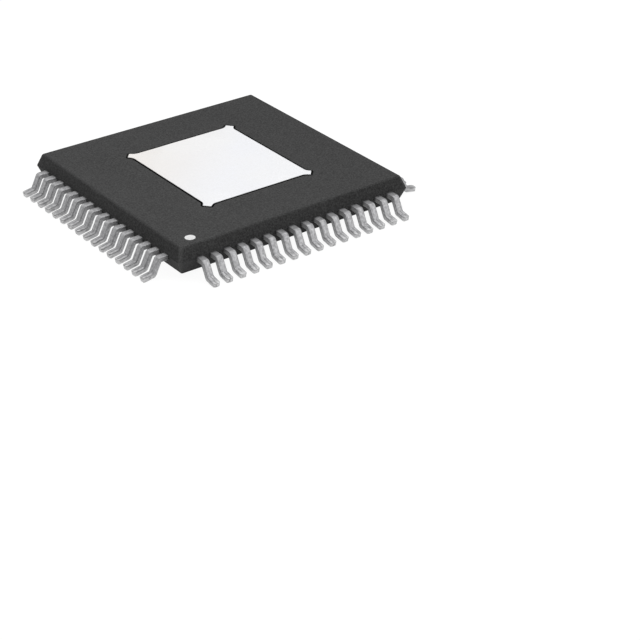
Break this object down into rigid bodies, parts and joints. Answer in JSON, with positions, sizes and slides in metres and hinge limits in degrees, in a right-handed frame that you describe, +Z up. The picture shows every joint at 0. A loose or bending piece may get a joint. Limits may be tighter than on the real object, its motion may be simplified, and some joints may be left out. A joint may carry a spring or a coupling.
{
  "type": "quad flat pack chip",
  "caption": "Square moulded chip with gull-wing leads along every side, a bare metal thermal pad on top and a white dot at pin one.",
  "frame": {"origin": "middle of the seating plane, on which the feet of the leads stand", "axes": "+Z up, out of the thermal pad; the front row of leads points along -Y, and pin one is its lead nearest to -X"},
  "size_m": [0.0174, 0.0174, 0.0018],
  "materials": {
    "mould": "fine matt, as moulded",
    "tin_plate": "satin tin plating on copper alloy",
    "pad_plate": "pale matt plating on copper",
    "ink": "matt white ink",
    "silicon": "polished",
    "silver_epoxy": "matt",
    "gold_wire": "bright"
  },
  "bodies": {
    "root": {"mould_body": "mould", "thermal_pad": "pad_plate", "leads_front": "tin_plate", "leads_right": "tin_plate", "leads_back": "tin_plate", "leads_left": "tin_plate", "pin_one_mark": "ink", "die": "silicon", "die_attach": "silver_epoxy", "bond_wires": "gold_wire"}
  },
  "joints": []
}
